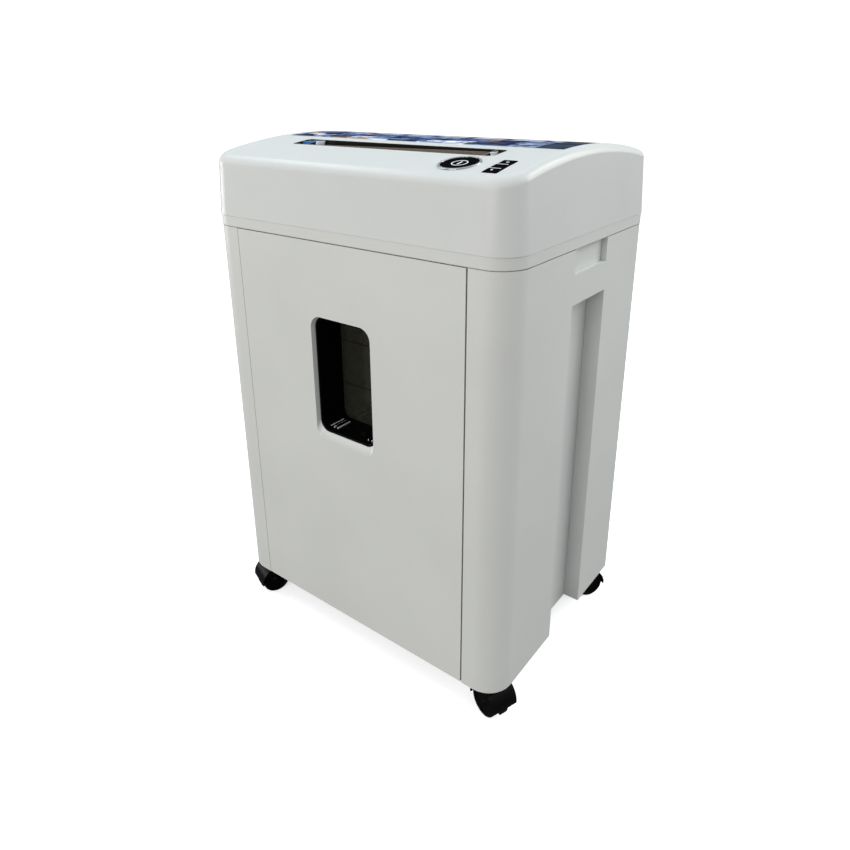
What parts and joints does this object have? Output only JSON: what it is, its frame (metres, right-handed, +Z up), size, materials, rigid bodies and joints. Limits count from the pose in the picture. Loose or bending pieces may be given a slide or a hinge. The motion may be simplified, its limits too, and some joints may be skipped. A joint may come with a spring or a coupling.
{
  "type": "paper shredder",
  "caption": "Office paper shredder: crowned head with feed slot and round power button on a tall cabinet with a windowed pull-out waste bin and swivel casters.",
  "frame": {"origin": "on the floor under the centre of the cabinet", "axes": "+X to the right seen from the front, +Y to the back, +Z up; the bin front faces -Y"},
  "size_m": [0.408, 0.2996, 0.5945],
  "materials": {
    "wall_plastic": "fine spark texture",
    "head_plastic": "smooth satin",
    "label_film": "glossy film",
    "throat_plastic": "polished",
    "black_gloss": "polished",
    "symbol_white": "printed",
    "chrome": "polished",
    "smoked_pane": "smoked",
    "black_plastic": "moulded",
    "caster_black": "moulded",
    "board": "solder mask",
    "led_lens": "clear",
    "capacitor_can": "moulded",
    "zinc_steel": "zinc plated",
    "hard_steel": "oiled",
    "nylon": "moulded",
    "stripper_plastic": "moulded",
    "bronze": "sintered",
    "screw_steel": "zinc plated"
  },
  "bodies": {
    "cabinet": {"side_panel_left": "wall_plastic", "side_panel_right": "wall_plastic", "rear_panel": "wall_plastic", "head_tray": "wall_plastic", "head_cover": "head_plastic", "top_label": "label_film", "feed_throat": "throat_plastic", "indicator_lens": "black_gloss", "button_ring": "chrome", "base_tray": "black_plastic", "bin_rails": "black_plastic", "shred_chute": "black_plastic", "mains_inlet": "black_plastic", "paper_sensor": "black_plastic", "bin_sensor": "black_plastic", "caster_plates": "caster_black", "display_board": "board", "control_board": "board", "status_leds": "led_lens", "run_capacitor": "capacitor_can", "chassis_plate": "zinc_steel", "gear_plate": "zinc_steel", "gear_cover": "zinc_steel", "tie_rods": "zinc_steel", "gear_standoffs": "zinc_steel", "idler_axles": "zinc_steel", "motor_can": "zinc_steel", "motor_bracket": "zinc_steel", "stripper_front": "stripper_plastic", "stripper_rear": "stripper_plastic", "cutter_bearings": "bronze", "head_screws": "screw_steel", "chassis_screws": "screw_steel", "rear_screws": "screw_steel"},
    "bin": {"waste_bin": "black_plastic", "bin_front": "wall_plastic", "window_bezel": "throat_plastic", "window_pane": "smoked_pane", "bin_screws": "screw_steel", "bin_magnet": "screw_steel"},
    "button": {"power_button": "black_gloss", "button_symbol": "symbol_white"},
    "rear_cutter": {"cutter_rear": "hard_steel", "cutter_gear": "hard_steel", "sync_gear_rear": "hard_steel"},
    "front_cutter": {"cutter_front": "hard_steel", "sync_gear_front": "hard_steel"},
    "second_idler": {"idler_gear_second": "hard_steel"},
    "first_idler": {"idler_gear_first": "nylon"},
    "rotor": {"motor_rotor": "zinc_steel", "motor_pinion": "hard_steel", "motor_fan": "nylon"},
    "hood_fr": {"caster_hood_fr": "caster_black"},
    "wheels_fr": {"caster_wheels_fr": "caster_black"},
    "hood_fl": {"caster_hood_fl": "caster_black"},
    "wheels_fl": {"caster_wheels_fl": "caster_black"},
    "hood_rr": {"caster_hood_rr": "caster_black"},
    "wheels_rr": {"caster_wheels_rr": "caster_black"},
    "hood_rl": {"caster_hood_rl": "caster_black"},
    "wheels_rl": {"caster_wheels_rl": "caster_black"}
  },
  "joints": [
    {"name": "bin_slide", "type": "slide", "parent": "cabinet", "child": "bin", "axis": [0, -1, 0], "range_m": [0, 0.24]},
    {"name": "power_press", "type": "slide", "parent": "cabinet", "child": "button", "axis": [0, 0.1866, -0.9824], "range_m": [0, 0.0015], "stiffness_N_per_m": 1500, "springref_m": -0.0006},
    {"name": "rear_cutter_spin", "type": "hinge", "parent": "cabinet", "child": "rear_cutter", "pos_m": [0, -0.0465, 0.534], "axis": [1, 0, 0], "continuous": true},
    {"name": "front_cutter_spin", "type": "hinge", "parent": "cabinet", "child": "front_cutter", "pos_m": [0, -0.0815, 0.534], "axis": [1, 0, 0], "continuous": true},
    {"name": "second_idler_spin", "type": "hinge", "parent": "cabinet", "child": "second_idler", "pos_m": [0.15, -0.01031, 0.54169], "axis": [1, 0, 0], "continuous": true},
    {"name": "first_idler_spin", "type": "hinge", "parent": "cabinet", "child": "first_idler", "pos_m": [0.15, 0.02705, 0.53842], "axis": [1, 0, 0], "continuous": true},
    {"name": "motor_spin", "type": "hinge", "parent": "cabinet", "child": "rotor", "pos_m": [0.082, 0.06327, 0.54813], "axis": [1, 0, 0], "continuous": true},
    {"name": "caster_fr_swivel", "type": "hinge", "parent": "cabinet", "child": "hood_fr", "pos_m": [0.166, -0.112, 0.04], "axis": [0, 0, 1], "continuous": true},
    {"name": "caster_fr_roll", "type": "hinge", "parent": "hood_fr", "child": "wheels_fr", "pos_m": [0.17916, -0.11679, 0.018], "axis": [-0.342, -0.9397, 0], "continuous": true},
    {"name": "caster_fl_swivel", "type": "hinge", "parent": "cabinet", "child": "hood_fl", "pos_m": [-0.166, -0.112, 0.04], "axis": [0, 0, 1], "continuous": true},
    {"name": "caster_fl_roll", "type": "hinge", "parent": "hood_fl", "child": "wheels_fl", "pos_m": [-0.17079, -0.12516, 0.018], "axis": [-0.9397, 0.342, 0], "continuous": true},
    {"name": "caster_rr_swivel", "type": "hinge", "parent": "cabinet", "child": "hood_rr", "pos_m": [0.166, 0.112, 0.04], "axis": [0, 0, 1], "continuous": true},
    {"name": "caster_rr_roll", "type": "hinge", "parent": "hood_rr", "child": "wheels_rr", "pos_m": [0.17403, 0.12347, 0.018], "axis": [0.8192, -0.5736, 0], "continuous": true},
    {"name": "caster_rl_swivel", "type": "hinge", "parent": "cabinet", "child": "hood_rl", "pos_m": [-0.166, 0.112, 0.04], "axis": [0, 0, 1], "continuous": true},
    {"name": "caster_rl_roll", "type": "hinge", "parent": "hood_rl", "child": "wheels_rl", "pos_m": [-0.17916, 0.11679, 0.018], "axis": [0.342, 0.9397, 0], "continuous": true}
  ],
  "couplings": [
    {"joint": "front_cutter_spin", "follows": "rear_cutter_spin", "ratio": -1},
    {"joint": "second_idler_spin", "follows": "rear_cutter_spin", "ratio": -1.8462},
    {"joint": "first_idler_spin", "follows": "rear_cutter_spin", "ratio": 4.7473},
    {"joint": "motor_spin", "follows": "rear_cutter_spin", "ratio": -18.989}
  ]
}
